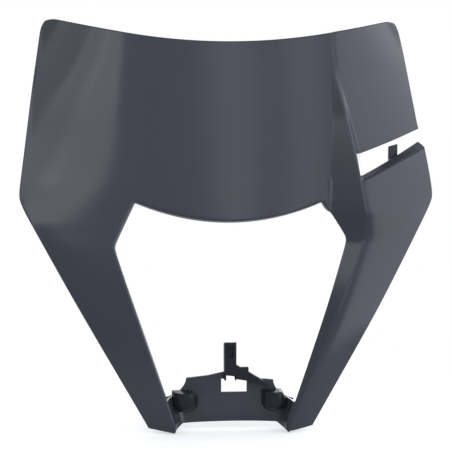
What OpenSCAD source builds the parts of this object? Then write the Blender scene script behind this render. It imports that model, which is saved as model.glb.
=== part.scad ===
// Headlight cowl of an off-road motorcycle: one thin moulded shell. Its plate leans back over
// the lamp, its two legs run down beside the lamp opening, and a bridge joins the legs low down.
// X is to the viewer's right, Y runs back from the front and Z is up. Sizes are in millimetres.

/* [Front outline] */
// Width across the hips, the widest place
hip_w = 292; // [270:1:310]
// Height of the sharp hip corner above the feet
hip_z = 158; // [145:1:170]
// Width between the sharp top corners
top_w = 268.5; // [240:1:290]
// Height of the top edge at its middle
top_mid_z = 271.5; // [255:1:290]
// Radius of the hollow top edge
top_arc_r = 415; // [300:5:700]
// Fillet radius at the two top corners
corner_r = 9.3; // [6:0.5:14]
// Width across the outer corners of the feet
foot_w = 116; // [104:1:124]
// Height of the outer corner of a foot above its tip
foot_rise = 3.5; // [1:0.5:6]
// Depth of the tips of the feet below the level that all heights are measured from
tip_drop = 1.7; // [0:0.1:3]

/* [Lamp opening] */
// Width between the sharp upper corners
opening_top_w = 132; // [115:1:140]
// Height of the opening's upper edge at its middle
opening_mid_z = 144.3; // [135:1:150]
// Radius of the opening's hanging upper edge
opening_arc_r = 161; // [130:1:300]
// Greatest width, between the sharp side corners
opening_w = 164; // [154:1:172]
// Height of the sharp side corner on the right
opening_corner_z = 132; // [124:1:138]
// Height of the blunter side corner on the left
left_corner_z = 128; // [122:1:134]
// Width at the level of the feet
opening_foot_w = 75; // [70:1:78]

/* [Depth] */
// Wall thickness of the shell
wall = 2.5; // [2:0.1:3.5]
// Height below which the legs stand upright
leg_knee_z = 86; // [70:1:100]
// Lean of the plate above the knee, as run back over rise
plate_lean = 0.27; // [0.15:0.01:0.4]
// How far the plate bows forward at its middle
plate_bow = 2.5; // [1:0.5:6]
// Height where the wings start to sweep further back
wing_knee_z = 180; // [170:1:200]
// Extra sweep of the wing's outer edge above that height
wing_sweep = 0.33; // [0.2:0.01:0.45]
// How far the outer edge lies behind the opening's edge
edge_back = 4; // [2:0.5:8]
// Slope of the facet that rises from the crease to the ridge
facet_tilt = 0.6; // [0.4:0.05:0.8]

/* [Crease and ridge] */
// Distance of each crease from the middle, at the top edge
crease_top_x = 75.5; // [70:0.5:80]
// Width of the facet at the top edge
facet_top_w = 2.5; // [2:0.5:5]
// Distance of the ridge from the middle, at the hips
ridge_hip_x = 94; // [88:0.5:98]
// Height where the ridge reaches furthest out
ridge_hip_z = 148; // [140:1:160]
// Height where the ridge starts to turn outwards, below the top
ridge_start_z = 248; // [235:1:260]
// Width of the facet beside the lowest part of the opening
facet_foot_w = 2.5; // [2:0.5:5]
// Width of the facet beside the opening's side corner
facet_corner_w = 11; // [8:0.5:14]

/* [Hose recess] */
// Depth of the sunk wing at the slot
recess_d = 12; // [8:0.5:15]
// Run of the step wall from the ridge down to the sunk wing
step_run = 4.2; // [3:0.1:6]
// Height of the wing's lower edge at the step
wing_edge_in_z = 190.5; // [184:0.5:196]
// Height of the wing's lower edge at the outer side
wing_edge_out_z = 210; // [204:0.5:216]
// Height of the panel's upper edge at the ridge
panel_edge_in_z = 170.5; // [164:0.5:174]
// Height of the panel's upper edge at the outer side
panel_edge_out_z = 194; // [188:0.5:198]
// Depth of the flange along the panel's upper edge
flange_d = 8; // [4:0.5:10]
// Rise of that flange from its front edge to its rear edge
flange_rise = 4.5; // [2:0.5:6]

/* [Edges] */
// Depth of the lip that turns back along the shell's edges
lip = 4; // [2:0.5:7]
// Depth of the return on the plain edges of the slot and feet
plain_lip = 1; // [0.8:0.1:2]
// Break of every visible outer edge
edge_break = 1; // [0.5:0.1:1.5]

/* [Bridge] */
// Depth of the bridge's front face behind the leg's lower edge
bridge_y = 14; // [10:0.5:20]
// Thickness of the bridge wall
bridge_t = 2.5; // [2:0.1:3.5]
// Height of the bridge at its middle
bridge_top_z = 38.5; // [34:0.5:42]
// Height of its left shoulder
shoulder_z = 34.5; // [31:0.5:36]
// Height of the bridge's lower corners
bridge_low_z = 2.6; // [2:0.1:4]
// Rise of the arched lower edge at the middle
bridge_arch = 0.9; // [0.2:0.1:2]
// Distance of each neck's start from the middle
neck_x = 30.7; // [28:0.1:33]
// Run of each neck's hollow curve out to its leg
neck_w = 14.5; // [10:0.5:18]
// Height of each neck
neck_h = 11.8; // [8:0.1:14]
// How much lower the right shoulder stands
shoulder_drop = 2; // [0:0.5:4]
// Height where each arm meets its leg
arm_top_z = 21.5; // [18:0.5:24]
// Distance across that each arm needs to curve back
arm_run = 9; // [6:0.5:12]
// Distance of the bridge's lower corner from the middle
foot_in_x = 33.5; // [30:0.5:36]

/* [Lug pockets] */
// Distance of each pocket from the middle
pocket_x = 31.5; // [28:0.5:33]
// Radius of a pocket's hood
pocket_r = 9.3; // [8:0.1:11]
// Height of the hood's top
pocket_top_z = 26; // [24:0.5:28]
// Height where the hood starts to round away below
pocket_full_z = 17; // [15:0.5:20]
// Height where the hood runs out below
pocket_low_z = 10.5; // [9:0.5:13]
// Angle at which the ledge on the hood drops to the front
ledge_lean = 13; // [5:1:25]
// Width of the pocket's mouth at the back
pocket_mouth_w = 10; // [8:0.5:12]

/* [Adjuster post] */
// Width of the post
post_w = 8.8; // [7:0.1:11]
// Height of the post's top
post_top_z = 60; // [54:0.5:66]
// Depth of the post's front face
post_y = 8; // [6:0.5:10]
// Width of the slot in the post
post_slot_w = 2.9; // [2:0.1:4]
// Width of the stop block beside the post
block_w = 8.8; // [6:0.1:11]
// Height of the stop block
block_h = 9.5; // [7:0.5:12]
// Width of the fillet between the post and the stop block
fillet_w = 2.6; // [1:0.1:4]
// Height of that fillet
fillet_h = 1.8; // [1:0.1:4]
// Left edge of the window in the bridge
window_x = -6; // [-8:0.5:-5]
// Width of the window
window_w = 18.4; // [15:0.1:20]
// Height of the window
window_h = 9.5; // [7:0.1:11]
// Height of the window's upper edge on the left
window_top_z = 33.6; // [31:0.1:34]
// How much lower that edge lies on the right
window_drop = 1; // [0:0.1:2]
// Width of the notch above the window
notch_w = 6; // [4:0.5:8]
// Height of the notch
notch_h = 3.4; // [2:0.1:4.5]

/* [Lamp ears] */
// Distance of each ear from the middle
ear_x = 90; // [89:0.5:94]
// Thickness of an ear
ear_t = 4; // [3:0.5:5]
// Height of an ear where it stands on the shell
ear_h = 20; // [16:1:26]
// Radius of an ear round its pivot
ear_r = 7; // [6:0.5:9]
// Depth of the pivot
pivot_y = 32; // [28:0.5:38]
// Height of the pivot
pivot_z = 124; // [118:0.5:128]
// Bore for the pivot screw
pivot_d = 6.2; // [5:0.1:7]
// Radius of the boss round the bore
boss_r = 6; // [5:0.5:7]
// Length of the boss
boss_l = 8; // [6:0.5:10]

/* [Strap pegs] */
// Distance of each peg from the middle
peg_x = 114; // [108:0.5:118]
// Height of each peg
peg_z = 236; // [228:0.5:244]
// Length of a peg behind the skin
peg_l = 15; // [12:0.5:18]
// Thickness of the stem
peg_t = 3; // [2.5:0.5:4]
// Height of the stem where it stands on the shell
peg_h = 16; // [12:0.5:20]
// Length of the crossbar
peg_bar_l = 16; // [12:0.5:20]
// Diameter of the crossbar
peg_bar_d = 6; // [5:0.5:8]

/* [Hose hook] */
// Distance of the hook from the middle
hook_x = 120.5; // [112:0.5:126]
// Height where the hook turns up
hook_z = 188; // [184:0.5:190]
// Depth of the hook's rear face
hook_y = 44; // [42:0.5:48]
// Width of the hook
hook_w = 6.5; // [5:0.5:9]
// Height of the hook's tip above the turn
hook_h = 9; // [6:0.5:10]
// Thickness of the hook's tip
hook_t = 3; // [2.5:0.5:4]

/* [Hidden] */

// Rows of the shell: from the top edge to the hips, then down the legs to the feet
hip_row = 14;
leg_rows = 17;
last_row = hip_row + leg_rows;
// Rows of the hose recess, and the share of the wing above it
sink_share = 0.33;
wing_row = 10;
flange_row = 11;
panel_row = 12;

// Columns of the shell, from the left outer edge to the right one
side_cells = 9;
plate_cells = 16;
facet_cells = 3;
crease_l = side_cells;
crease_r = crease_l + plate_cells;
ridge_col = crease_r + facet_cells;
step_col = ridge_col + 1;
last_col = step_col + side_cells;

// Widest point of the outline, and the height of the row of cells that meets it
hip_x = hip_w / 2 + 1.5;
hip_row_z = hip_z + 7;
// Sharp top corner, the directions of its two edges and the reach of the fillet that rounds it
top_x = top_w / 2;
top_corner_z = top_mid_z + top_x * top_x / 2 / top_arc_r;
side_way = [hip_x - top_x, hip_z - top_corner_z] / norm([hip_x - top_x, hip_z - top_corner_z]);
top_way = [-1, -top_x / top_arc_r] / norm([1, top_x / top_arc_r]);
fillet_reach = corner_r / tan(acos(side_way * top_way) / 2);
// Level of the outer corners of the feet
foot_z = foot_rise - tip_drop;
// Upper corner of the lamp opening
opening_top_x = opening_top_w / 2;
opening_top_z = opening_mid_z + opening_top_x * opening_top_x / 2 / opening_arc_r;
// Where the crease runs out on the opening's edge
crease_end_x = opening_top_x + 5;
// Narrow strip that breaks the sharp ridge
ridge_strip = 1.2;

function mix(a, b, t) = a + (b - a) * t;
function clamp01(t) = min(1, max(0, t));
// The smaller of two values, with a rounded change from one to the other
function soft_min(a, b, r) = (a + b) / 2 - sqrt(pow((a - b) / 2, 2) + r * r);
// A slope that starts softly at its knee
function ramp(z, knee, slope, soft) = slope * (z - knee + sqrt(pow(z - knee, 2) + soft * soft)) / 2;
// A straight line through two points, read at z
function line_x(x0, z0, x1, z1, z) = x0 + (x1 - x0) * (z - z0) / (z1 - z0);

// Outer edge in the front view, as a distance from the middle
function edge_x(z) =
    soft_min(line_x(top_x, top_corner_z, hip_x, hip_z, z), line_x(foot_w / 2, foot_z, hip_x, hip_z, z), 1.4);
// Edge of the lamp opening beside the legs: a long lower line and a short upper one
function leg_line_x(z) = line_x(opening_foot_w / 2, 0, opening_w / 2, opening_corner_z, z);
function opening_x(z, corner_z = opening_corner_z) = soft_min(
    line_x(opening_top_x, opening_top_z, leg_line_x(corner_z), corner_z, z), leg_line_x(z), 1);
// Crease above the opening, which runs out on the opening's edge just below its corner
function crease_x(z) = mix(crease_end_x, crease_top_x, clamp01((z - opening_top_z) / 60));
// Inner end of the facet: the crease above, and the opening's edge below
function inner_x(z, corner_z = opening_corner_z) = z > corner_z
    ? max(crease_x(z), opening_x(z, corner_z)) : opening_x(z, corner_z);
// Inner end of a row of cells, which turns in to the opening's corner on the row of the hips
function row_end_x(i, z, corner_z = opening_corner_z) = i == hip_row ? opening_top_x
    : i < hip_row ? crease_x(z) : opening_x(z, corner_z);
// Ridge between the facet and the outer panel
function ridge_x(z) = z > ridge_hip_z
    ? mix(ridge_hip_x, crease_top_x + facet_top_w, pow(clamp01((z - ridge_hip_z) / (ridge_start_z - ridge_hip_z)), 1.4))
    : soft_min(ridge_hip_x, leg_line_x(z) + mix(facet_foot_w, facet_corner_w, z / opening_corner_z), 1);
// Top edge, and the upper edge of the lamp opening
function top_z(x) = top_mid_z + x * x / 2 / top_arc_r;
function opening_z(x) = opening_mid_z + x * x / 2 / opening_arc_r;

// Depth of the crease or opening edge, of the outer edge and of the ridge at a height
knee_soft = 20;
function inner_y(z) = ramp(z, leg_knee_z, plate_lean, knee_soft);
function edge_y(z) = inner_y(z) + edge_back + ramp(z, wing_knee_z, wing_sweep, knee_soft);
function ridge_y(z) = inner_y(z) - facet_tilt * max(0, ridge_x(z) - inner_x(z));
// Depth of the outer panel between the ridge and the outer edge
function panel_y(x, z) = mix(ridge_y(z), edge_y(z),
    pow(clamp01((x - ridge_x(z)) / (edge_x(z) - ridge_x(z))), 1.6));
// Depth of the front skin at a point of the front view, before the hose recess is sunk
function hard_y(x, z) = x < inner_x(z)
    ? inner_y(z) - plate_bow * (1 - pow(x / inner_x(z), 2))
    : x < ridge_x(z) ? inner_y(z) - facet_tilt * (x - inner_x(z)) : panel_y(x, z);
// The left side has the same form with its ridge rounded away
function soft_y(x, z) = let (
        in = inner_x(z, left_corner_z),
        t = clamp01((x - in) / (edge_x(z) - in)),
        hump = 0.8 * facet_tilt * max(0, ridge_x(z) - in))
    mix(inner_y(z), edge_y(z), pow(t, 1.6)) - hump * sin(180 * pow(t, 0.62));
function skin_y(x, z) = x < -inner_x(z, left_corner_z) ? soft_y(-x, z) : hard_y(abs(x), z);

// Heights of the rows at the outer edge, the inner line and the ridge
function row_share(i) = pow(i / hip_row, 1.3);
function leg_share(i) = (i - hip_row) <= 7 ? (i - hip_row) * 0.036 : 0.252 + (i - hip_row - 7) * 0.0748;
function edge_row_z(i) = i <= hip_row
    ? mix(top_corner_z, hip_row_z, row_share(i))
    : mix(hip_row_z, foot_z, leg_share(i));
function inner_row_z(i) = i <= hip_row
    ? mix(top_z(crease_top_x), opening_top_z, row_share(i))
    : mix(opening_top_z, -tip_drop, leg_share(i));
function wing_share(i) = pow(i / wing_row, 1.3);
function right_edge_row_z(i) = i > hip_row ? edge_row_z(i)
    : i < wing_row ? mix(edge_row_z(0), wing_edge_out_z, wing_share(i))
    : lookup(i, [[wing_row, wing_edge_out_z], [flange_row, panel_edge_out_z + flange_rise],
        [panel_row, panel_edge_out_z], [hip_row, hip_row_z]]);
function ridge_row_z(i) = i > hip_row ? mix(inner_row_z(i), edge_row_z(i), 0.2)
    : i < wing_row ? mix(top_z(crease_top_x + facet_top_w), wing_edge_in_z, wing_share(i))
    : lookup(i, [[wing_row, wing_edge_in_z], [flange_row, panel_edge_in_z + flange_rise],
        [panel_row, panel_edge_in_z], [hip_row, mix(opening_top_z, hip_row_z, 0.2)]]);

// How far a row of the right wing is sunk, and how wide its step wall is
function sink(i) = i <= wing_row ? recess_d * clamp01((wing_share(i) - sink_share) / (1 - sink_share))
    : i == flange_row ? flange_d : 0;
function step_w(i) = i >= panel_row ? ridge_strip
    : i == flange_row ? (ridge_strip + step_run) / 2
    : mix(ridge_strip, step_run, clamp01((wing_share(i) - sink_share) * 5));

// Share of the way from the outer edge to the inner line, with more cells near the edge
function side_share(j) = pow(j / side_cells, 1.25);
// Lift of a straight row onto the curve of the top edge, fading away downwards
function top_lift(x, xa, za, xb, zb, i) = i >= hip_row ? 0
    : (top_z(x) - mix(za, zb, (x - xa) / (xb - xa))) * (1 - row_share(i));

// Fillet of the top corner: points near the sharp corner move along its two edges onto the curve
function fillet_shift(s) = let (u = max(0, 1 - s / fillet_reach) / 2)
    fillet_reach * [pow(1 - u, 2) - min(1, s / fillet_reach), u * u];
function filleted(x, z) = let (
        v = [x - top_x, z - top_corner_z], area = cross(side_way, top_way),
        a = max(0, cross(v, top_way) / area), b = max(0, cross(side_way, v) / area),
        near_a = clamp01(1 - a / fillet_reach), near_b = clamp01(1 - b / fillet_reach),
        along = fillet_shift(a), across = fillet_shift(b), both = fillet_shift(0) * near_a * near_b)
    [x, z] + side_way * (along.x * near_b + across.y * near_a - both.x)
        + top_way * (along.y * near_b + across.x * near_a - both.y);

// One point of the front skin, by row and column
function left_point(i, j) = let (
        t = side_share(j), za = edge_row_z(i), zb = inner_row_z(i),
        x0a = edge_x(edge_row_z(0)), x0b = row_end_x(0, inner_row_z(0), left_corner_z),
        z = mix(za, zb, t) + top_lift(mix(x0a, x0b, t), x0a, edge_row_z(0), x0b, inner_row_z(0), i),
        p = filleted(mix(edge_x(za), row_end_x(i, zb, left_corner_z), t), z))
    [-p.x, skin_y(-p.x, p.y), p.y];
function plate_point(i, j) = let (
        x = mix(-1, 1, (j - crease_l) / plate_cells) * row_end_x(i, inner_row_z(i)),
        z = mix(top_z(x), opening_z(x), row_share(i)))
    [x, skin_y(x, z), z];
function facet_point(i, j) = let (
        t = (j - crease_r) / facet_cells, z = mix(inner_row_z(i), ridge_row_z(i), t),
        x = mix(row_end_x(i, inner_row_z(i)), ridge_x(ridge_row_z(i)), t))
    [x, skin_y(x, z), z];
function wing_point(i, j) = let (
        t = 1 - side_share(last_col - j), za = ridge_row_z(i), zb = right_edge_row_z(i),
        x0a = ridge_x(ridge_row_z(0)) + step_w(0), x0b = edge_x(edge_row_z(0)),
        z = mix(za, zb, t) + top_lift(mix(x0a, x0b, t), x0a, ridge_row_z(0), x0b, edge_row_z(0), i),
        p = filleted(mix(ridge_x(za) + step_w(i), edge_x(zb), t), z))
    [p.x, panel_y(p.x, p.y) + sink(i), p.y];
function front_point(i, j) = j < crease_l || (j == crease_l && i > hip_row) ? left_point(i, j)
    : j <= crease_r && i <= hip_row ? plate_point(i, j)
    : j <= ridge_col ? facet_point(i, max(j, crease_r)) : wing_point(i, j);

// Cells that are solid: the lamp opening and the hose slot are left out
function solid(i, j) = i >= 0 && j >= 0 && i < last_row && j < last_col
    && !(i >= hip_row && j >= crease_l && j < crease_r)
    && !(i == wing_row && j >= step_col);

// Skins and rims of the shell, as points over the grid of rows and columns
cols = last_col + 1;
function at(i, j) = i * cols + j;
front = [for (i = [0:last_row]) for (j = [0:last_col]) front_point(i, j)];
function corner_cells(i, j) = [for (c = [[i - 1, j - 1], [i - 1, j], [i, j], [i, j - 1]]) if (solid(c[0], c[1])) c];
function cell_middle(c) = (front[at(c[0], c[1])] + front[at(c[0], c[1] + 1)]
    + front[at(c[0] + 1, c[1])] + front[at(c[0] + 1, c[1] + 1)]) / 4;
function cell_normal(c) = let (v = cross(
        front[at(c[0], c[1] + 1)] - front[at(c[0] + 1, c[1])],
        front[at(c[0] + 1, c[1] + 1)] - front[at(c[0], c[1])])) v / norm(v);
function total(v, k = 0) = k >= len(v) ? [0, 0, 0] : v[k] + total(v, k + 1);
function unit(v) = v / max(norm(v), 0.000001);
function inwards(i, j, cells) = len(cells) == 4 || len(cells) == 0 ? [0, 0, 0]
    : unit(total([for (c = cells) cell_middle(c)]) / len(cells) - front[at(i, j)])
        * (len(cells) == 2 ? 1 : 1.35);
function lip_at(i, j) = i == last_row || ((i == wing_row || i == flange_row) && j >= step_col) ? plain_lip : lip;
// Five points through the wall at each place: front skin, broken edge, lip and back skin
through = [for (i = [0:last_row]) for (j = [0:last_col]) let (
        cells = corner_cells(i, j), p = front[at(i, j)],
        back = unit(total([for (c = cells) cell_normal(c)])),
        side = inwards(i, j, cells))
    [p + side * edge_break, p + back * edge_break, p + back * (wall + lip_at(i, j)),
        p + back * (wall + lip_at(i, j)) + side * wall, p + back * wall + side * wall]];
shell_points = [for (k = [0:4]) for (t = through) t[k]];
layer = len(through);
// The origin lies midway between the foremost and the rearmost point, level with the lowest one
depths = [for (p = shell_points) p.y];
origin_y = (min(depths) + max(depths)) / 2;
origin_z = min([for (p = shell_points) p.z]);
function two(a, b, c, d) = [[a, b, c], [a, c, d]];
function rim(u, v) = [for (k = [0:3]) each two(v + k * layer, u + k * layer, u + (k + 1) * layer, v + (k + 1) * layer)];
shell_faces = [for (i = [0:last_row - 1]) for (j = [0:last_col - 1]) if (solid(i, j)) let (
        a = at(i, j), b = at(i, j + 1), c = at(i + 1, j + 1), d = at(i + 1, j), back = 4 * layer)
    each concat(two(a, b, c, d), two(d + back, c + back, b + back, a + back),
        solid(i - 1, j) ? [] : rim(a, b), solid(i, j + 1) ? [] : rim(b, c),
        solid(i + 1, j) ? [] : rim(c, d), solid(i, j - 1) ? [] : rim(d, a))];

module shell() {
    polyhedron(points = shell_points, faces = shell_faces, convexity = 12);
}

// Bridge between the feet: a wall set back behind the legs, with an arm curving out to each leg
wall_back = bridge_y + bridge_t;
arm_root = 0.3;
tip_x = opening_foot_w / 2 + 2;
gusset_x = neck_x - 9.7;
arm_lean = atan((opening_w - opening_foot_w) / 2 / opening_corner_z);
function arm_arc(r, end_y) = [for (a = [0:15:90]) [arm_run - (arm_run + r) * cos(a), mix(1, end_y, sin(a))]];
function reversed(v) = [for (k = [len(v) - 1:-1:0]) v[k]];

module arm() {
    translate([-opening_foot_w / 2 + 0.6, 0, 0])
        rotate([0, -arm_lean, 0])
            translate([0, 0, -5])
                linear_extrude(height = bridge_top_z)
                    polygon(concat(arm_arc(0, bridge_y + arm_root), reversed(arm_arc(bridge_t, wall_back - arm_root))));
}

// Front view of the bridge, with its two curved necks and its arched lower edge
function neck(side, top) = [for (a = [0:15:90])
    [side * (neck_x + neck_w * (1 - cos(a))), top - neck_h * sin(a)]];
module bridge_outline() {
    polygon(concat(
        [[-tip_x, -tip_drop]],
        [for (k = [-1:0.25:1]) [k * foot_in_x, bridge_low_z + bridge_arch * (1 - k * k)]],
        [[tip_x, -tip_drop], [tip_x + arm_run, arm_top_z]],
        reversed(neck(1, shoulder_z - shoulder_drop)),
        [[gusset_x, shoulder_z - shoulder_drop + 1], [post_w / 2, bridge_top_z], [-post_w / 2, bridge_top_z],
            [-neck_x / 2, mix(shoulder_z, bridge_top_z, 0.4)]],
        neck(-1, shoulder_z), [[-tip_x - arm_run, arm_top_z]]));
}

module bridge() {
    intersection() {
        union() {
            translate([-foot_in_x - 4, bridge_y, 0])
                cube([2 * foot_in_x + 8, bridge_t, bridge_top_z + 5]);
            arm();
            mirror([1, 0, 0]) arm();
        }
        translate([0, wall_back + 5, 0])
            rotate([90, 0, 0])
                linear_extrude(height = wall_back + 20)
                    bridge_outline();
    }
}

// Hood that takes a lug of the mudguard from behind, and the hollow inside it
hood_root = 1;
// Half of a bullet's outline: a straight side that rounds away below
function bullet(r, low, full, top) = concat(
    [for (a = [0:15:90]) [r * sin(a), full - (full - low) * cos(a)]], [[r, top], [0, top]]);
module pocket_hood() {
    difference() {
        rotate_extrude($fn = 48)
            polygon(bullet(pocket_r, pocket_low_z, pocket_full_z, pocket_top_z));
        translate([-pocket_r - 1, hood_root, pocket_low_z - 1])
            cube([2 * pocket_r + 2, pocket_r, pocket_top_z]);
        translate([-pocket_r - 1, hood_root + 1, pocket_top_z])
            rotate([ledge_lean, 0, 0])
                translate([0, -2 * pocket_r - 2, 0])
                    cube([2 * pocket_r + 2, 2 * pocket_r + 2, pocket_r]);
    }
}
module pocket_hollow() {
    rotate_extrude($fn = 48)
        polygon(bullet(pocket_r - wall, pocket_low_z + wall, pocket_full_z, pocket_top_z - 1.6 * wall));
    translate([-pocket_mouth_w / 2, 0, pocket_low_z + 1])
        cube([pocket_mouth_w, cut_depth, pocket_top_z - pocket_low_z - wall - 2]);
}
module pockets_of(side) {
    translate([side * pocket_x, bridge_y, 0]) children();
}

// Post for the beam adjuster, with its slot, and the stop block beside it
block_x = post_w / 2 + block_w;
block_top_z = window_top_z + block_h;
cut_depth = 20;
module front_view(front_y, back_y) {
    translate([0, back_y, 0])
        rotate([90, 0, 0])
            linear_extrude(height = back_y - front_y)
                children();
}
module post() {
    difference() {
        translate([-post_w / 2, post_y, bridge_top_z - 4])
            cube([post_w, wall_back - post_y, post_top_z - bridge_top_z + 4]);
        translate([-post_slot_w / 2, post_y - 1, post_top_z - 14])
            cube([post_slot_w, 4, 9]);
    }
    front_view(post_y, wall_back) polygon([
        [post_w / 2 - 1, window_top_z + 0.5], [block_x, window_top_z - window_drop], [block_x, block_top_z],
        [post_w / 2 + fillet_w, block_top_z], [post_w / 2, block_top_z + fillet_h], [post_w / 2 - 1, block_top_z]]);
}

// Gusset between the stop block and the shoulder of the bridge
module gusset() {
    front_view(bridge_y - 4, bridge_y + 1) polygon([
        [block_x - 1, window_top_z - 2], [block_x - 1, block_top_z - 3.5], [gusset_x, shoulder_z - 0.4],
        [neck_x - 2, shoulder_z - 6]]);
}

// Window through the bridge for the adjuster screw, with a notch above it
module window() {
    front_view(post_y - 5, wall_back + cut_depth) polygon([
        [window_x, window_top_z - window_h], [window_x + window_w, window_top_z - window_h],
        [window_x + window_w, window_top_z - window_drop], [notch_w / 2, window_top_z - window_drop / 2],
        [notch_w / 2, window_top_z + notch_h - window_drop / 2], [-notch_w / 2, window_top_z + notch_h],
        [-notch_w / 2, window_top_z - window_drop / 4], [window_x, window_top_z]]);
}

// Depth inside the wall where a rib of some thickness stands on the back of the skin
seat_depth = 0.7;
function seat_y(x, z, t) = seat_depth + max(
    skin_y(x - t / 2, z) + sunk(x - t / 2, z), skin_y(x + t / 2, z) + sunk(x + t / 2, z));
// How far the skin is sunk at a place of the right wing
function sunk(x, z) = x < ridge_x(z) || z < wing_edge_in_z ? 0 : let (
        t = (x - ridge_x(z)) / (edge_x(z) - ridge_x(z)),
        top = mix(top_z(ridge_x(z)), edge_row_z(0), t), low = mix(wing_edge_in_z, wing_edge_out_z, t))
    recess_d * clamp01(((top - z) / (top - low) - sink_share) / (1 - sink_share));

// Ear behind each leg that carries the lamp on a pivot screw
module lamp_ear(side) {
    difference() {
        union() {
            translate([side * ear_x - ear_t / 2, 0, 0])
                rotate([90, 0, 90])
                    linear_extrude(height = ear_t)
                        union() {
                            polygon([[seat_y(side * ear_x, pivot_z - ear_h / 2, ear_t), pivot_z - ear_h / 2],
                                [pivot_y, pivot_z - ear_r], [pivot_y, pivot_z + ear_r],
                                [seat_y(side * ear_x, pivot_z + ear_h / 2, ear_t), pivot_z + ear_h / 2]]);
                            translate([pivot_y, pivot_z]) circle(r = ear_r, $fn = 48);
                        }
            translate([side * ear_x, pivot_y, pivot_z])
                rotate([0, 90, 0])
                    cylinder(h = boss_l, r = boss_r, center = true, $fn = 48);
        }
        translate([side * ear_x, pivot_y, pivot_z])
            rotate([0, 90, 0])
                cylinder(h = boss_l + 2, d = pivot_d, center = true, $fn = 48);
    }
}

// Peg behind each wing for the rubber strap round the fork: a stem with a round crossbar
module strap_peg(side) {
    x = side * peg_x;
    bar_y = skin_y(x, peg_z) + sunk(x, peg_z) + peg_l;
    translate([x - peg_t / 2, 0, 0])
        rotate([90, 0, 90])
            linear_extrude(height = peg_t)
                polygon([[seat_y(x, peg_z - peg_h / 2, peg_t), peg_z - peg_h / 2],
                    [bar_y, peg_z - peg_bar_d / 3], [bar_y, peg_z + peg_bar_d / 3],
                    [seat_y(x, peg_z + peg_h / 2, peg_t), peg_z + peg_h / 2]]);
    translate([x, bar_y, peg_z])
        rotate([0, 90, 0])
            cylinder(h = peg_bar_l, d = peg_bar_d, center = true, $fn = 48);
}

// Hook behind the lower panel that keeps the hose in its slot
hook_root_h = 16;
hook_shoulder_h = 7;
slot_angle = atan((wing_edge_out_z - wing_edge_in_z) / (hip_x - ridge_hip_x));
module hose_hook() {
    low = hook_z - hook_root_h;
    shoulder = hook_z - hook_shoulder_h;
    difference() {
        translate([hook_x - hook_w / 2, 0, 0])
            rotate([90, 0, 90])
                linear_extrude(height = hook_w)
                    polygon([[seat_y(hook_x, low, hook_w), low], [seat_y(hook_x, shoulder, hook_w), shoulder],
                        [hook_y - hook_t, hook_z], [hook_y - hook_t, hook_z + hook_h + 3],
                        [hook_y, hook_z + hook_h + 3], [hook_y, hook_z - hook_root_h / 2]]);
        translate([hook_x, hook_y - 2 * hook_t, hook_z + hook_h])
            rotate([0, -slot_angle, 0])
                translate([-hook_w, 0, 0])
                    cube([2 * hook_w, 3 * hook_t, 9]);
    }
}

module headlight_cowl() color("#4b4e58") translate([0, -origin_y, -origin_z]) difference() {
    union() {
        shell();
        bridge();
        for (side = [-1, 1]) {
            pockets_of(side) pocket_hood();
            lamp_ear(side);
            strap_peg(side);
        }
        post();
        gusset();
        hose_hook();
    }
    for (side = [-1, 1]) pockets_of(side) pocket_hollow();
    window();
}

headlight_cowl();
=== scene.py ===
from math import atan, cos, pi, radians, sin, sqrt, tan

import bmesh
import bpy
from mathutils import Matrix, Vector


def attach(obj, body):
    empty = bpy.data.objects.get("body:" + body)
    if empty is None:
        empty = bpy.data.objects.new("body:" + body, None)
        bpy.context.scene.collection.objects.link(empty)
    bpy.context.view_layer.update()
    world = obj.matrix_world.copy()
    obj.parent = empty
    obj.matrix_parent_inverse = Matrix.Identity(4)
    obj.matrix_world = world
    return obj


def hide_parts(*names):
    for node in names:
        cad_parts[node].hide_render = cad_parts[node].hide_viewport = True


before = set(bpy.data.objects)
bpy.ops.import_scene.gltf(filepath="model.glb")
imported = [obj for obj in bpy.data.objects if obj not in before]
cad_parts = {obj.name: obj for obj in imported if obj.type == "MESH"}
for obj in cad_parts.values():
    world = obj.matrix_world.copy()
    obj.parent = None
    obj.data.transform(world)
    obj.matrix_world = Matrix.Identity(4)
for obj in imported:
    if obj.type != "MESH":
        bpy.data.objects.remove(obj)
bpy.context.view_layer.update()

# The camera stands where the photographer stood: almost level, a little to the left of the
# middle, far enough away that the cowl fills the square picture with little distortion.
base_z = 0.002309
middle_y = 0.047105
aim = Vector((-0.0022, 0.020 - middle_y, 0.1405 + base_z))
turn, rise, distance = radians(4.5), radians(4.0), 0.850
sensor_w, photo_w, metres_per_pixel = 36, 452, 0.0007
away = Vector((sin(turn) * cos(rise), cos(turn) * cos(rise), -sin(rise)))
eye = bpy.data.objects.new("photo_camera", bpy.data.cameras.new("photo_camera"))
eye.location = aim - away * distance
eye.rotation_mode = "QUATERNION"
eye.rotation_quaternion = away.to_track_quat("-Z", "Y")
eye.data.sensor_width = sensor_w
eye.data.lens = sensor_w * distance / (photo_w * metres_per_pixel)
eye.data.clip_start, eye.data.clip_end = 0.01, 20
bpy.context.collection.objects.link(eye)
bpy.context.scene.camera = eye
bpy.context.scene.view_settings.view_transform = "Standard"


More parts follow.
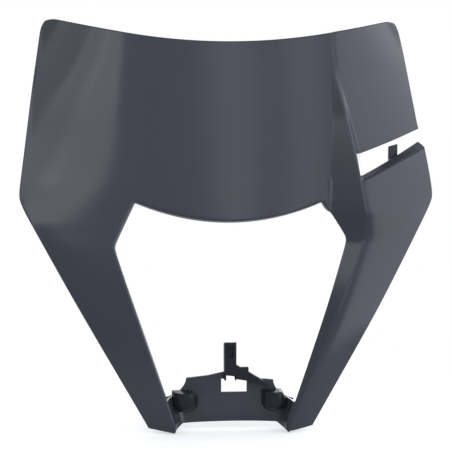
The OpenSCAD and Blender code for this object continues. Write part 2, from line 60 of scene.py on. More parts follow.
# The moulding's finish: slate grey nylon straight from a finely etched tool. The grain breaks
# the gloss, and shade and gloss drift a little where the plastic flowed. A second copy of it, for
# the hoods, post, block and gusset, is painted shade: darker and less reflective, as if in shadow.
def etched_grain():
    g = bpy.data.node_groups.new("etched_grain", "ShaderNodeTree")
    for title, value in (
            ("Grain per metre", 2600.0), ("Flow per metre", 16.0), ("Drift", 0.12), ("Gloss spread", 0.04)):
        s = g.interface.new_socket(title, in_out="INPUT", socket_type="NodeSocketFloat")
        s.default_value = value
    mean_shade, mean_roughness = 0.5, 0.17
    for title in ("Shade", "Roughness", "Height"):
        g.interface.new_socket(title, in_out="OUTPUT", socket_type="NodeSocketFloat")
    put, way = g.nodes.new, g.links.new
    gi, go = put("NodeGroupInput"), put("NodeGroupOutput")
    where = put("ShaderNodeTexCoord")
    fine, flow = put("ShaderNodeTexNoise"), put("ShaderNodeTexNoise")
    fine.inputs["Detail"].default_value = 1.0
    flow.inputs["Detail"].default_value = 2.5
    for tex, title in ((fine, "Grain per metre"), (flow, "Flow per metre")):
        way(where.outputs["Object"], tex.inputs["Vector"])
        way(gi.outputs[title], tex.inputs["Scale"])

    def spread(source, amount, centre):
        a, b = put("ShaderNodeMath"), put("ShaderNodeMath")
        a.operation, b.operation = "SUBTRACT", "MULTIPLY_ADD"
        a.inputs[1].default_value = 0.5
        b.inputs[2].default_value = centre
        way(source, a.inputs[0])
        way(a.outputs[0], b.inputs[0])
        way(gi.outputs[amount], b.inputs[1])
        return b.outputs[0]

    way(spread(flow.outputs["Fac"], "Drift", mean_shade), go.inputs["Shade"])
    way(spread(flow.outputs["Fac"], "Gloss spread", mean_roughness), go.inputs["Roughness"])
    way(fine.outputs["Fac"], go.inputs["Height"])
    return g


def slate_plastic(name, dark, light, specular):
    plastic = bpy.data.materials.new(name)
    plastic.use_nodes = True
    tree = plastic.node_tree
    skin = tree.nodes["Principled BSDF"]
    skin.inputs["IOR"].default_value = 1.48
    skin.inputs["Specular IOR Level"].default_value = specular
    texture = tree.nodes.new("ShaderNodeGroup")
    texture.node_tree = grain
    tint = tree.nodes.new("ShaderNodeMix")
    tint.data_type = "RGBA"
    tint.inputs["A"].default_value = dark
    tint.inputs["B"].default_value = light
    bump = tree.nodes.new("ShaderNodeBump")
    bump.inputs["Strength"].default_value = 0.12
    bump.inputs["Distance"].default_value = 0.00006
    tree.links.new(texture.outputs["Shade"], tint.inputs["Factor"])
    tree.links.new(tint.outputs["Result"], skin.inputs["Base Color"])
    tree.links.new(texture.outputs["Roughness"], skin.inputs["Roughness"])
    tree.links.new(texture.outputs["Height"], bump.inputs["Height"])
    tree.links.new(bump.outputs["Normal"], skin.inputs["Normal"])
    return plastic


grain = etched_grain()
plastic = slate_plastic("slate_plastic", (0.031, 0.033, 0.044, 1), (0.041, 0.044, 0.058, 1), 0.5)
# Painted shade: the same slate plastic, darker and with weaker reflection, standing in for the shadow on
# set-back parts.
painted_shade_plastic = slate_plastic("slate_plastic_painted_shade", (0.014, 0.015, 0.019, 1), (0.020, 0.021, 0.027, 1), 0.22)

# The shell: one thin skin over a grid, its rows from the top edge to the feet and its columns from
# left to right. Sizes are in millimetres, as in the solid model. Only the left side, which is
# smoother and sweeps back further, and the hose recess, which is shallower, differ clearly.
hip_w, hip_z, hip_spare, hip_row_up = 292, 160, 1.5, 7
top_w, top_mid_z, top_arc_r, corner_r = 268.5, 271.5, 415, 10.5
foot_w, foot_rise, tip_drop, flare_w, flare_z = 114.6, 3.2, 1.7, 2.0, 8
opening_top_w, opening_mid_z, opening_arc_r = 132, 144.3, 161
opening_w, opening_corner_z, left_corner_z, opening_foot_w = 164, 132, 128, 75
wall, leg_knee_z, plate_lean, plate_bow = 2.5, 86, 0.27, 2.5
wing_knee_z, wing_sweep, knee_soft, edge_back, facet_tilt = 180, 0.33, 20, 4, 0.6
left_turn, belly_d, belly_low_z, belly_full_z, belly_fade_z, belly_end_z = 0.28, 8, 140, 182, 185, 245
hip_soft, corner_soft, left_soft, ridge_soft, crease_soft = 1.4, 1, 4.0, 0.7, 0.02
crease_top_x, crease_h, crease_flare, ridge_hip_x, ridge_hip_z, ridge_start_z = 75.5, 60, 5, 94, 148, 248
facet_top_w, facet_corner_w, facet_foot_w, ridge_strip = 2.5, 11, 2.5, 1.2
ridge_bend, panel_bend, row_pace, column_pace, hip_ridge_share = 1.4, 1.6, 1.3, 1.25, 0.2
recess_d, step_run, wing_edge_in_z, wing_edge_out_z = 7, 4.2, 191.3, 209.2
panel_edge_in_z, panel_edge_out_z, panel_corner_r, flange_d, flange_rise = 171.2, 195.3, 4, 8, 4.5
lip, plain_lip, round_over, plain_round, corner_push = 4, 1, 1.3, 0.7, 1.3
hip_row, leg_rows, knee_rows, knee_step = 14, 17, 7, 0.036
sink_share, wing_row, flange_row, panel_row, seam_rows, seam_d = 0.33, 10, 11, 12, 0.15, 0.35
crease_l, crease_r, ridge_col, step_col, last_col, last_row = 9, 25, 28, 29, 38, hip_row + leg_rows
hip_x = hip_w / 2 + hip_spare
hip_row_z = hip_z + hip_row_up
top_x = top_w / 2
top_corner_z = top_mid_z + top_x * top_x / 2 / top_arc_r
side_way = Vector((hip_x - top_x, hip_z - top_corner_z)).normalized()
top_way = Vector((-1, -top_x / top_arc_r)).normalized()
fillet_reach = corner_r / tan(side_way.angle(top_way) / 2)
foot_z = foot_rise - tip_drop
opening_top_x = opening_top_w / 2
opening_top_z = opening_mid_z + opening_top_x * opening_top_x / 2 / opening_arc_r
crease_end_x = opening_top_x + crease_flare


def mix(a, b, t):
    return a + (b - a) * t


def share(t):
    return min(1.0, max(0.0, t))


def smooth(t):
    return t * t * (3 - 2 * t)


def soft_min(a, b, r):
    return (a + b) / 2 - sqrt(((a - b) / 2) ** 2 + r * r)


def ramp(z, knee, slope):
    return slope * (z - knee + sqrt((z - knee) ** 2 + knee_soft ** 2)) / 2


def line_x(x0, z0, x1, z1, z):
    return x0 + (x1 - x0) * (z - z0) / (z1 - z0)


def edge_x(z):
    upper = line_x(top_x, top_corner_z, hip_x, hip_z, z)
    lower = line_x(foot_w / 2, foot_z, hip_x, hip_z, z)
    return soft_min(upper, lower, hip_soft)


def leg_line_x(z):
    return line_x(opening_foot_w / 2, 0, opening_w / 2, opening_corner_z, z)


def opening_x(z, corner_z=opening_corner_z):
    upper = line_x(opening_top_x, opening_top_z, leg_line_x(corner_z), corner_z, z)
    return soft_min(upper, leg_line_x(z), corner_soft)


def crease_x(z):
    return mix(crease_end_x, crease_top_x, share((z - opening_top_z) / crease_h))


def inner_x(z, corner_z=opening_corner_z):
    edge = opening_x(z, corner_z)
    return max(crease_x(z), edge) if z > corner_z else edge


def ridge_x(z):
    if z > ridge_hip_z:
        climb = share((z - ridge_hip_z) / (ridge_start_z - ridge_hip_z))
        return mix(ridge_hip_x, crease_top_x + facet_top_w, climb ** ridge_bend)
    facet_w = mix(facet_foot_w, facet_corner_w, z / opening_corner_z)
    return soft_min(ridge_hip_x, leg_line_x(z) + facet_w, corner_soft)


def top_z(x):
    return top_mid_z + x * x / 2 / top_arc_r


def opening_z(x):
    return opening_mid_z + x * x / 2 / opening_arc_r


def inner_y(z):
    return ramp(z, leg_knee_z, plate_lean)


def edge_y(z):
    return inner_y(z) + edge_back + ramp(z, wing_knee_z, wing_sweep)


def ridge_y(z):
    return inner_y(z) - facet_tilt * max(0, ridge_x(z) - inner_x(z))


def panel_y(x, z):
    t = share((x - ridge_x(z)) / (edge_x(z) - ridge_x(z)))
    return mix(ridge_y(z), edge_y(z), t ** panel_bend)


def left_y(t, z):
    rise = share((z - belly_low_z) / (belly_full_z - belly_low_z))
    fall = share((belly_end_z - z) / (belly_end_z - belly_fade_z))
    belly = belly_d * smooth(rise) * smooth(fall)
    return mix(inner_y(z), edge_y(z) + belly, t * mix(left_turn, 1, t))


def skin_y(x, z):
    inner = inner_x(z, left_corner_z)
    if x < -inner:
        return left_y(share((-x - inner) / (edge_x(z) - inner)), z)
    x, inner = abs(x), inner_x(z)
    if x < inner:
        return inner_y(z) - plate_bow * (1 - (x / inner) ** 2)
    return inner_y(z) - facet_tilt * (x - inner) if x < ridge_x(z) else panel_y(x, z)


# The depth is averaged over a short reach, which rounds the left crease widely and the ridge a
# little. The right crease stays crisp.
def eased_y(x, z):
    if x < 6 - inner_x(z, left_corner_z):
        reach = left_soft
    else:
        reach = ridge_soft if x > inner_x(z) + 1 else crease_soft
    return sum((1 + cos(pi * k / 6)) * skin_y(x + k * reach / 4, z) for k in range(-5, 6)) / 12


def row_share(i):
    return (i / hip_row) ** row_pace


def leg_share(i):
    k = i - hip_row
    knee_share = knee_rows * knee_step
    if k <= knee_rows:
        return k * knee_step
    return knee_share + (k - knee_rows) * (1 - knee_share) / (leg_rows - knee_rows)


def edge_row_z(i):
    if i <= hip_row:
        return mix(top_corner_z, hip_row_z, row_share(i))
    return mix(hip_row_z, foot_z, leg_share(i))


def inner_row_z(i):
    if i <= hip_row:
        return mix(top_z(crease_top_x), opening_top_z, row_share(i))
    return mix(opening_top_z, -tip_drop, leg_share(i))


def wing_share(i):
    return (i / wing_row) ** row_pace


def stepped(i, places):
    for (a, va), (b, vb) in zip(places, places[1:]):
        if i <= b:
            return mix(va, vb, (i - a) / (b - a))
    return places[-1][1]


def right_edge_row_z(i):
    if i > hip_row:
        return edge_row_z(i)
    if i < wing_row:
        return mix(edge_row_z(0), wing_edge_out_z, wing_share(i))
    return stepped(i, [(wing_row, wing_edge_out_z), (flange_row, panel_edge_out_z + flange_rise),
                       (panel_row, panel_edge_out_z), (hip_row, hip_row_z)])


def ridge_row_z(i):
    if i > hip_row:
        return mix(inner_row_z(i), edge_row_z(i), hip_ridge_share)
    if i < wing_row:
        return mix(top_z(crease_top_x + facet_top_w), wing_edge_in_z, wing_share(i))
    return stepped(i, [(wing_row, wing_edge_in_z), (flange_row, panel_edge_in_z + flange_rise),
                       (panel_row, panel_edge_in_z),
                       (hip_row, mix(opening_top_z, hip_row_z, hip_ridge_share))])


def sink(i):
    if i <= wing_row:
        return recess_d * share((wing_share(i) - sink_share) / (1 - sink_share))
    return stepped(i, [(wing_row, recess_d), (flange_row, flange_d),
                       (panel_row - seam_rows, seam_d), (panel_row, 0)])


def step_w(i):
    if i >= panel_row:
        return ridge_strip
    if i <= wing_row:
        return mix(ridge_strip, step_run, share((wing_share(i) - sink_share) * 5))
    return stepped(i, [(wing_row, step_run), (flange_row, (ridge_strip + step_run) / 2),
                       (panel_row, ridge_strip)])


def panel_corner(z):
    high = share((z - panel_edge_out_z - flange_rise + panel_corner_r) / (panel_corner_r + 0.1))
    return panel_corner_r - panel_corner_r * sqrt(1 - high ** 2)


def foot_flare(z):
    return flare_w * share((flare_z - z) / (flare_z + tip_drop)) ** 1.5


def row_end_x(i, z, corner_z=opening_corner_z):
    if i >= hip_row:
        return opening_x(z, corner_z) + foot_flare(z) if i > hip_row else opening_top_x
    last = mix(crease_end_x, opening_top_x, share(i - hip_row + 1))
    return last if i > hip_row - 1 else crease_x(z)


def lift(x, xa, za, xb, zb, i):
    if i >= hip_row:
        return 0
    return (top_z(x) - mix(za, zb, (x - xa) / (xb - xa))) * (1 - row_share(i))


def fillet_shift(s):
    u = max(0, 1 - s / fillet_reach) / 2
    return Vector(((1 - u) ** 2 - min(1, s / fillet_reach), u * u)) * fillet_reach


def filleted(x, z):
    v = Vector((x - top_x, z - top_corner_z))
    area = side_way.cross(top_way)
    a, b = max(0, v.cross(top_way) / area), max(0, side_way.cross(v) / area)
    near_a, near_b = share(1 - a / fillet_reach), share(1 - b / fillet_reach)
    along, across, both = fillet_shift(a), fillet_shift(b), fillet_shift(0) * near_a * near_b
    shift = side_way * (along.x * near_b + across.y * near_a - both.x)
    shift += top_way * (along.y * near_b + across.x * near_a - both.y)
    return x + shift.x, z + shift.y


def place(i, j):
    if j < crease_l or (j == crease_l and i > hip_row):
        t = (j / crease_l) ** column_pace
        za, zb = edge_row_z(i), inner_row_z(i)
        xa, xb = edge_x(edge_row_z(0)), row_end_x(0, inner_row_z(0), left_corner_z)
        z = mix(za, zb, t) + lift(mix(xa, xb, t), xa, edge_row_z(0), xb, inner_row_z(0), i)
        x, z = filleted(mix(edge_x(za), row_end_x(i, zb, left_corner_z), t), z)
        return -x, eased_y(-x, z), z
    if j <= crease_r and i <= hip_row:
        x = mix(-1, 1, (j - crease_l) / (crease_r - crease_l)) * row_end_x(i, inner_row_z(i))
        z = mix(top_z(x), opening_z(x), row_share(i))
        return x, eased_y(x, z), z
    if j <= ridge_col:
        t = (max(j, crease_r) - crease_r) / (ridge_col - crease_r)
        z = mix(inner_row_z(i), ridge_row_z(i), t)
        x = mix(row_end_x(i, inner_row_z(i)), ridge_x(ridge_row_z(i)), t)
        return x, eased_y(x, z), z
    za, zb = ridge_row_z(i), right_edge_row_z(i)
    xa, xb = ridge_x(ridge_row_z(0)) + step_w(0), edge_x(edge_row_z(0))
    down = share(j - ridge_col)
    t = 0 if j <= step_col else 1 - ((last_col - j) / (last_col - step_col)) ** column_pace
    z = mix(za, zb, t) + lift(mix(xa, xb, t), xa, ridge_row_z(0), xb, edge_row_z(0), i)
    outer = edge_x(zb) - panel_corner(zb) * (i >= flange_row)
    x, z = filleted(mix(ridge_x(za) + step_w(i) * down, outer, t), z)
    return x, eased_y(x, z) + sink(i) * smooth(down), z


def steps(*spans):
    out = []
    for a, b, n in spans:
        out += [a + (b - a) * k / n for k in range(n)]
    return out + [spans[-1][1]]


rows = steps((0, 9, 22), (9, 10, 3), (10, 11, 3), (11, 12, 6), (12, 12.3, 2), (12.3, 14, 6), (14, 31, 51))
cols = steps((0, 9, 24), (9, 25, 36), (25, 25.6, 3), (25.6, 27.6, 6), (27.6, 28, 4),
             (28, 29, 8), (29, 29.6, 3), (29.6, 38, 24))


def shell_mesh():
    nr, nc = len(rows), len(cols)
    front = [[Vector(place(i, j)) for j in cols] for i in rows]

    def is_solid(r, c):
        if r < 0 or c < 0 or r >= nr - 1 or c >= nc - 1:
            return False
        i, j = (rows[r] + rows[r + 1]) / 2, (cols[c] + cols[c + 1]) / 2
        if i > hip_row and crease_l < j < crease_r:
            return False
        return not (wing_row < i < flange_row and j > step_col)

    solid = [[is_solid(r, c) for c in range(-1, nc)] for r in range(-1, nr)]
    normal = {}
    for r in range(nr - 1):
        for c in range(nc - 1):
            if solid[r + 1][c + 1]:
                across = front[r][c + 1] - front[r + 1][c]
                normal[r, c] = across.cross(front[r + 1][c + 1] - front[r][c]).normalized()
    bm = bmesh.new()
    made = {}

    def points(r, c):
        if (r, c) in made:
            return made[r, c]
        p = front[r][c]
        cells = [(a, b) for a in (r - 1, r) for b in (c - 1, c) if solid[a + 1][b + 1]]
        back = sum((normal[k] for k in cells), Vector()).normalized()
        if len(cells) == 4:
            made[r, c] = [bm.verts.new(p), bm.verts.new(p + back * wall)]
            return made[r, c]
        side = Vector()
        for a, b in cells:
            side += (front[2 * a + 1 - r][c] - p).normalized()
            side += (front[r][2 * b + 1 - c] - p).normalized()
        side -= back * side.dot(back)
        side = side.normalized() * (1 if len(cells) == 2 or r == 0 else corner_push)
        i, j = rows[r], cols[c]
        plain = i == last_row or (i in (wing_row, flange_row) and j >= step_col)
        deep = wall + (plain_lip if plain else lip)
        e = plain_round if plain else round_over
        turn = [(e - e * sin(a), e - e * cos(a)) for a in (0, pi / 8, pi / 4, 3 * pi / 8, pi / 2)]
        turn += [(0, deep - 0.5), (0.15, deep - 0.15), (0.5, deep)]
        turn += [(wall - 0.5, deep), (wall, deep - 0.5), (wall, wall)]
        made[r, c] = [bm.verts.new(p + side * s + back * b) for s, b in turn]
        return made[r, c]

    for r in range(nr - 1):
        for c in range(nc - 1):
            if not solid[r + 1][c + 1]:
                continue
            quad = [points(r, c), points(r, c + 1), points(r + 1, c + 1), points(r + 1, c)]
            bm.faces.new([q[0] for q in reversed(quad)])
            bm.faces.new([q[-1] for q in quad])
            sides = ((r - 1, c, 0, 1), (r, c + 1, 1, 2), (r + 1, c, 2, 3), (r, c - 1, 3, 0))
            for a, b, u, v in sides:
                if not solid[a + 1][b + 1]:
                    for k in range(len(quad[u]) - 1):
                        bm.faces.new((quad[u][k], quad[v][k], quad[v][k + 1], quad[u][k + 1]))
    for v in bm.verts:
        v.co = Vector((v.co.x / 1000, v.co.y / 1000 - middle_y, v.co.z / 1000 + base_z))
    bmesh.ops.recalc_face_normals(bm, faces=bm.faces)
    me = bpy.data.meshes.new("cowl_shell")
    bm.to_mesh(me)
    bm.free()
    return me


def keep(name, me, finish=plastic):
    piece = bpy.data.objects.new(name, me)
    bpy.context.collection.objects.link(piece)
    me.materials.clear()
    me.materials.append(finish)
    me.polygons.foreach_set("use_smooth", [True] * len(me.polygons))
    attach(piece, "root")
    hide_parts("headlight_cowl")
    return piece


def sharp(piece, angle=40):
    piece.data.set_sharp_from_angle(angle=radians(angle))
    return piece


sharp(keep("cowl_shell", shell_mesh()), 28)


# Flat walls such as the bridge: an outline with its holes, given a thickness and slightly
# rounded edges, standing upright across the cowl.
def plate(name, loops, front_y, thick, soft=0.35):
    flat = bpy.data.curves.new(name, "CURVE")
    flat.dimensions, flat.fill_mode = "2D", "BOTH"
    flat.extrude, flat.bevel_depth, flat.bevel_resolution = (thick / 2 - soft) / 1000, soft / 1000, 2
    flat.offset = -soft / 1000
    for loop in loops:
        line = flat.splines.new("POLY")
        line.points.add(len(loop) - 1)
        for point, (x, z) in zip(line.points, loop):
            point.co = (x / 1000, z / 1000, 0, 1)
        line.use_cyclic_u = True
    holder = bpy.data.objects.new(name, flat)
    bpy.context.collection.objects.link(holder)
    me = bpy.data.meshes.new_from_object(holder.evaluated_get(bpy.context.evaluated_depsgraph_get()))
    bpy.data.objects.remove(holder)
    for v in me.vertices:
        x, z, y = v.co
        v.co = (x, y + (front_y + thick / 2) / 1000 - middle_y, z + base_z)
    tidy = bmesh.new()
    tidy.from_mesh(me)
    bmesh.ops.remove_doubles(tidy, verts=tidy.verts, dist=0.00001)
    bmesh.ops.recalc_face_normals(tidy, faces=tidy.faces)
    tidy.to_mesh(me)
    tidy.free()
    me.name = name
    return me


# The bridge: a flat wall set back between the feet, cut in one outline with its shoulders, necks
# and stepped window. It is moulded with the shell, and thin arms curve out from it to the legs.
bridge_y, bridge_t, bridge_top_z, shoulder_z, shoulder_drop = 14, 2.5, 38.5, 34.5, 2
foot_in_x, neck_x, neck_w, neck_h, neck_fall, arm_run = 33.5, 30.7, 14.5, 11.0, 2.4, 9
low_z, low_arch, tip_x, pocket_x = 2.6, 0.9, opening_foot_w / 2 + 2, 31.5


def neck(side, top):
    turn = [radians(a) for a in range(0, 91, 6)]
    return [(side * (neck_x + neck_w * (1 - cos(a))), top - neck_h * sin(a) - neck_fall * (1 - cos(a)))
            for a in turn]


outline = [(k * foot_in_x / 6, low_z + low_arch * (1 - (k / 6) ** 2)) for k in range(-6, 7)]
outline += [(tip_x - 1, -tip_drop + 1.5)] + neck(1, shoulder_z - shoulder_drop)[::-1]
outline += [(21, 33.5), (4.4, bridge_top_z), (-4.4, bridge_top_z), (-15.4, 36.1)]
outline += neck(-1, shoulder_z) + [(1 - tip_x, -tip_drop + 1.5)]
notch = [(3.4, 33.2), (3.4, 36.2), (-2.9, 36.9), (-2.9, 33.4)]
window = [(-6, 24.1), (11.9, 24.1), (11.9, 32.8)] + notch + [(-6, 33.6)]
mouth = ((-5, 11.5), (5, 11.5), (5, 22.5), (-5, 22.5))
mouths = [[(x + dx, z) for dx, z in mouth] for x in (-pocket_x, pocket_x)]
sharp(keep("bridge_wall", plate("bridge_wall", [outline, window] + mouths, bridge_y, bridge_t)))


def arm_low(x):
    return low_z - (low_z + tip_drop) * share((x - foot_in_x) / (tip_x - foot_in_x))


def arm_high(x, top):
    t = share((x - neck_x) / neck_w)
    return top - neck_h * sqrt(1 - (1 - t) ** 2) - neck_fall * t


def arm_mesh(name, side, top):
    lean = atan((opening_w - opening_foot_w) / 2 / opening_corner_z)
    levels, settle = 12, 12
    bm = bmesh.new()
    turn = [radians(5 * k) for k in range(19)]
    ring = [(arm_run - arm_run * cos(a), (bridge_y - 1) * sin(a) + 1) for a in turn]
    ring += [(arm_run - (arm_run + bridge_t) * cos(a), (bridge_y + bridge_t - 1) * sin(a) + 1)
             for a in reversed(turn)]
    columns = []
    for x, y in ring:
        low = high = 0
        for k in range(settle):
            across = opening_foot_w / 2 - 0.6 - x * cos(lean)
            low = arm_low(across + low * sin(lean) + foot_flare(low))
            high = arm_high(across + high * sin(lean), top)
        column = []
        for k in range(levels + 1):
            z = mix(low + 0.2, high - 0.2, k / levels)
            px = side * (across + z * sin(lean) + foot_flare(z) * share(1 - x / arm_run))
            column.append(bm.verts.new((px / 1000, y / 1000 - middle_y, z / 1000 + base_z)))
        columns.append(column)
    n = len(ring)
    for a, b in zip(columns, columns[1:] + columns[:1]):
        for k in range(levels):
            bm.faces.new((a[k], b[k], b[k + 1], a[k + 1]))
    for end in (0, levels):
        for k in range(n // 2 - 1):
            bm.faces.new([columns[c][end] for c in (k, k + 1, n - 2 - k, n - 1 - k)])
    bmesh.ops.recalc_face_normals(bm, faces=bm.faces)
    me = bpy.data.meshes.new(name)
    bm.to_mesh(me)
    bm.free()
    return me


for side, word, top in ((-1, "left", shoulder_z), (1, "right", shoulder_z - shoulder_drop)):
    sharp(keep("bridge_arm_" + word, arm_mesh("bridge_arm_" + word, side, top)))


# Two hoods stand on the bridge: upright half-round bulges that round away below, with a ledge on
# top that drops to the front. They are hollow and open behind, and take the lugs of the mudguard.
hood_r, hood_low_z, hood_full_z, hood_top_z, hood_slope, hood_roof = 9.3, 10.5, 17, 26, 7, 3.5
corner_in, corner_run = 4.6, 4.7


def hood_mesh(name, side, corner_cut):
    slope = tan(radians(hood_slope))
    bm = bmesh.new()

    def column(a, r, low, top, cut):
        c, s = cos(a), -sin(a)
        turn = [radians(15 * k) for k in range(7)]
        out = [(r * sin(b), hood_full_z - (hood_full_z - low) * cos(b)) for b in turn]

        def ledge(q):
            return top + s * q * slope - cut * share((q * c - corner_in) / corner_run)

        out += [(r, mix(hood_full_z, ledge(r) - 0.5, k / 3)) for k in (1, 2, 3)]
        out += [(r - 0.15, ledge(r) - 0.15), (r - 0.5, ledge(r - 0.5))]
        out += [(q * r, ledge(q * r)) for q in (0.85, 0.7, 0.5, 0.3, 0.02)]
        back = 0.6 if abs(s) < 0.001 else 0
        points = [(side * pocket_x + q * c, bridge_y + q * s + back, z) for q, z in out]
        return [bm.verts.new((x / 1000, y / 1000 - middle_y, z / 1000 + base_z)) for x, y, z in points]

    turn = [pi * k / 32 for k in range(33)]
    outer = [column(a, hood_r, hood_low_z, hood_top_z, corner_cut) for a in turn]
    inner = [column(a, hood_r - wall, hood_low_z + wall, hood_top_z - hood_roof, 0) for a in turn]
    for columns in (outer, inner):
        for a, b in zip(columns, columns[1:]):
            for k in range(len(a) - 1):
                bm.faces.new((a[k], b[k], b[k + 1], a[k + 1]))
    for k in (0, -1):
        a, b = outer[k], inner[k]
        for n in range(len(a) - 1):
            bm.faces.new((a[n], b[n], b[n + 1], a[n + 1]))
    bmesh.ops.recalc_face_normals(bm, faces=bm.faces)
    me = bpy.data.meshes.new(name)
    bm.to_mesh(me)
    bm.free()
    return me


# The hoods take the painted-shade plastic: their darker look is painted shade, not a different finish.
for side, word, cut in ((-1, "left", 4.4), (1, "right", 8.0)):
    sharp(keep("lug_hood_" + word, hood_mesh("lug_hood_" + word, side, cut), painted_shade_plastic), 50)

# The adjuster post stands on the middle of the bridge with a stop block against its right side
# and a thin gusset down to the shoulder. A narrow slot runs down the front of the post.
post_l, post_r, post_top_z, post_back_top_z = -4.3, 4.2, 60, 58.3
post_y, face_t, back_t, face_lap, rib_y, rib_t, block_back_top_z = 8, 2.6, 6.2, 0.3, 10, 5, 41.2
post = [(post_l, 33.4), (post_l, post_top_z), (post_r, post_top_z), (post_r, 33.1)] + notch
post_back = [(x, min(z, post_back_top_z)) for x, z in post]
slot = [(-1.9, 49.3), (1.9, 49.3), (1.9, 57.6), (-1.9, 57.6)]
block = [(3.4, 34.3), (12.7, 32.8), (12.7, 42.3), (12.3, 42.7), (7, 42.7), (4.2, 44.5), (3.4, 44.5)]
block_back = [(x, min(z, block_back_top_z)) for x, z in block[:3]] + [(3.4, block_back_top_z)]
rib = [(12.0, 31.8), (28.7, 28.5), (21, 34.1), (12.0, 39.6)]
# Post, block and gusset take the painted-shade plastic: their darker look is painted shade, not a different
# finish.
for name, loops, front_y, thick in (
        ("adjuster_post", [post, slot], post_y, face_t),
        ("adjuster_post_back", [post_back], post_y + face_t - face_lap, back_t),
        ("stop_block", [block], post_y, face_t),
        ("stop_block_back", [block_back], post_y + face_t - face_lap, back_t),
        ("gusset", [rib], rib_y, rib_t)):
    sharp(keep(name, plate(name, loops, front_y, thick), painted_shade_plastic))


# Behind each leg an ear carries the lamp: a flat tongue with a thick round boss, bored through
# for the pivot screw, and moulded on the back of the shell.
seat_lap = 0.7


def seat_y(x, z, t):
    deepest = max(skin_y(side_x, z) + sunk(side_x, z) for side_x in (x - t / 2, x + t / 2))
    return deepest + seat_lap


def sunk(x, z):
    if x < ridge_x(z) or z < wing_edge_in_z:
        return 0
    t = (x - ridge_x(z)) / (edge_x(z) - ridge_x(z))
    high = mix(top_z(ridge_x(z)), edge_row_z(0), t)
    low = mix(wing_edge_in_z, wing_edge_out_z, t)
    return recess_d * share(((high - z) / (high - low) - sink_share) / (1 - sink_share))


def upright(name, loops, middle_x, thick, soft=0.35):
    me = plate(name, loops, -thick / 2, thick, soft)
    for v in me.vertices:
        y, across, z = v.co
        v.co = (middle_x / 1000 + across + middle_y, y - middle_y, z)
    tidy = bmesh.new()
    tidy.from_mesh(me)
    bmesh.ops.recalc_face_normals(tidy, faces=tidy.faces)
    tidy.to_mesh(me)
    tidy.free()
    return me


def circle(y, z, r, n=40):
    return [(y + r * cos(2 * pi * k / n), z + r * sin(2 * pi * k / n)) for k in range(n)]


ear_x, ear_y, ear_z, ear_r, ear_t = 90, 32, 124, 7, 4
boss_r, boss_t, bore_r, root_h = 6, 8, 3.1, 10
for side, word in ((-1, "left"), (1, "right")):
    x = side * ear_x
    bore = circle(ear_y, ear_z, bore_r)
    tongue = [(seat_y(x, ear_z + h, ear_t), ear_z + h) for h in (-root_h, root_h)]
    half_turn = [radians(a) for a in range(0, 181, 9)]
    tongue += [(ear_y + ear_r * sin(a), ear_z + ear_r * cos(a)) for a in half_turn]
    name = "lamp_ear_" + word
    sharp(keep(name, upright(name, [tongue, bore], x, ear_t)))
    name = "ear_boss_" + word
    sharp(keep(name, upright(name, [circle(ear_y, ear_z, boss_r), bore], x, boss_t)))

# Behind each wing a T-shaped peg takes the rubber strap that holds the cowl on the fork: a thin
# tapered stem with a round crossbar.
peg_x, peg_z, peg_reach, stem_t, stem_root, stem_tip = 114, 236, 15, 3, 8, 2
bar_r, bar_w, bar_soft = 3, 16, 0.8
for side, word in ((-1, "left"), (1, "right")):
    x = side * peg_x
    bar_y = skin_y(x, peg_z) + sunk(x, peg_z) + peg_reach
    stem = [(seat_y(x, peg_z + h, stem_t), peg_z + h) for h in (-stem_root, stem_root)]
    stem += [(bar_y, peg_z + stem_tip), (bar_y, peg_z - stem_tip)]
    name = "peg_stem_" + word
    sharp(keep(name, upright(name, [stem], x, stem_t)))
    name = "peg_bar_" + word
    sharp(keep(name, upright(name, [circle(bar_y, peg_z, bar_r)], x, bar_w, bar_soft)), 60)

# A hook on the back of the lower panel keeps the brake hose in its slot. Its tip is cut along the
# slot's slope.
hook_x, hook_w, hook_y, hook_t, hook_top_z = 120.5, 6.5, 41, 3, 197
hook = [(seat_y(hook_x, z, hook_w), z) for z in (172, 181)]
hook += [(hook_y, 188), (hook_y, hook_top_z), (hook_y + hook_t, hook_top_z), (hook_y + hook_t, 180)]
slot_slope = (wing_edge_out_z - wing_edge_in_z) / (hip_x - ridge_hip_x)
hook_mesh = upright("hose_hook", [hook], hook_x, hook_w)
for v in hook_mesh.vertices:
    if v.co.z > (hook_top_z - 2) / 1000 + base_z:
        v.co.z += (v.co.x - hook_x / 1000) * slot_slope
sharp(keep("hose_hook", hook_mesh))


# Studio: the surroundings are seen as plain white but light the cowl only weakly. The table is
# white paper that fades into them, and keeps the soft shadow of the cowl.
world = bpy.data.worlds.new("studio")
bpy.context.scene.world = world
world.use_nodes = True
wt = world.node_tree
wt.nodes.clear()
out = wt.nodes.new("ShaderNodeOutputWorld")
seen, lit = wt.nodes.new("ShaderNodeBackground"), wt.nodes.new("ShaderNodeBackground")
ray, choose = wt.nodes.new("ShaderNodeLightPath"), wt.nodes.new("ShaderNodeMixShader")
seen.inputs["Color"].default_value = (1, 1, 1, 1)
lit.inputs["Color"].default_value = (0.88, 0.93, 1.0, 1)
lit.inputs["Strength"].default_value = 0.50
wt.links.new(ray.outputs["Is Camera Ray"], choose.inputs["Fac"])
wt.links.new(lit.outputs[0], choose.inputs[1])
wt.links.new(seen.outputs[0], choose.inputs[2])
wt.links.new(choose.outputs[0], out.inputs[0])

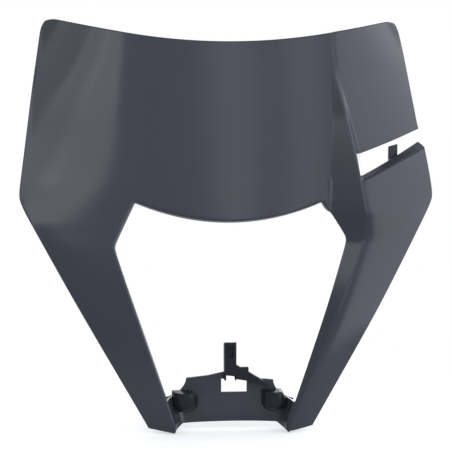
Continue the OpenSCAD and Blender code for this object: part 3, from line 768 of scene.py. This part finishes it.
floor_mesh = bpy.data.meshes.new("table_top")
span, fade_start, fade_end, paper_glow = 1.6, 0.13, 0.30, 0.42
corners = [(-span, -span, 0), (span, -span, 0), (span, span, 0), (-span, span, 0)]
floor_mesh.from_pydata(corners, [], [(0, 1, 2, 3)])
floor = bpy.data.objects.new("table_top", floor_mesh)
bpy.context.collection.objects.link(floor)
paper = bpy.data.materials.new("white_paper")
paper.use_nodes = True
pt = paper.node_tree
matt = pt.nodes["Principled BSDF"]
matt.inputs["Base Color"].default_value = (0.75, 0.75, 0.75, 1)
matt.inputs["Roughness"].default_value = 0.9
matt.inputs["Specular IOR Level"].default_value = 0.0
bright, path = pt.nodes.new("ShaderNodeEmission"), pt.nodes.new("ShaderNodeLightPath")
both, clear = pt.nodes.new("ShaderNodeAddShader"), pt.nodes.new("ShaderNodeBsdfTransparent")
fade, coord = pt.nodes.new("ShaderNodeMixShader"), pt.nodes.new("ShaderNodeTexCoord")
far, edge = pt.nodes.new("ShaderNodeVectorMath"), pt.nodes.new("ShaderNodeMapRange")
far.operation = "LENGTH"
edge.inputs["From Min"].default_value = fade_start
edge.inputs["From Max"].default_value = fade_end
glow = pt.nodes.new("ShaderNodeMath")
glow.operation = "MULTIPLY"
glow.inputs[1].default_value = paper_glow
pt.links.new(path.outputs["Is Camera Ray"], glow.inputs[0])
pt.links.new(glow.outputs[0], bright.inputs["Strength"])
pt.links.new(matt.outputs[0], both.inputs[0])
pt.links.new(bright.outputs[0], both.inputs[1])
pt.links.new(coord.outputs["Object"], far.inputs[0])
pt.links.new(far.outputs["Value"], edge.inputs["Value"])
pt.links.new(edge.outputs["Result"], fade.inputs["Fac"])
pt.links.new(both.outputs[0], fade.inputs[1])
pt.links.new(clear.outputs[0], fade.inputs[2])
pt.links.new(fade.outputs[0], pt.nodes["Material Output"].inputs["Surface"])
floor_mesh.materials.append(paper)

# Soft boxes round the cowl, by bearing and height in degrees, distance, width, height and watts.
# Two narrow ones beside a weak fill draw the bands on the plate, a wide one lights the right side,
# four shape the left side, and two light the back.
lamp_tint, lamps_look_z = (0.93, 0.94, 1.0), 0.14
for name, bearing, high, distance, wide, tall, power in (
        ("band_middle", 6.2, 28, 4.0, 0.38, 4.2, 7.6),
        ("band_right", 16.8, 28, 4.0, 0.32, 4.2, 6.6),
        ("plate_fill", -9, 38, 4.0, 1.3, 2.6, 2.2),
        ("wide_right", 71, 12, 2.0, 3.4, 3.2, 53.0),
        ("back_right", 146, 16, 2.2, 1.7, 1.4, 18.0),
        ("high_left", -27, 36, 3.0, 1.0, 0.95, 3.6),
        ("left_halo", -29, 34, 3.2, 1.4, 1.5, 4.0),
        ("upper_left", -50, 43, 3.0, 1.05, 1.4, 6.9),
        ("side_left", -81, 34, 2.5, 1.5, 1.1, 3.6),
        ("backdrop", 190, 22, 2.4, 3.6, 1.6, 19.0)):
    a, b = radians(bearing), radians(high)
    lamp = bpy.data.lights.new(name, "AREA")
    lamp.shape, lamp.size, lamp.size_y, lamp.energy = "RECTANGLE", wide, tall, power
    lamp.color = lamp_tint
    holder = bpy.data.objects.new(name, lamp)
    toward = Vector((sin(a) * cos(b), -cos(a) * cos(b), sin(b)))
    holder.location = toward * distance + Vector((0, 0, lamps_look_z))
    holder.rotation_mode = "QUATERNION"
    holder.rotation_quaternion = (-toward).to_track_quat("-Z", "Y")
    bpy.context.collection.objects.link(holder)
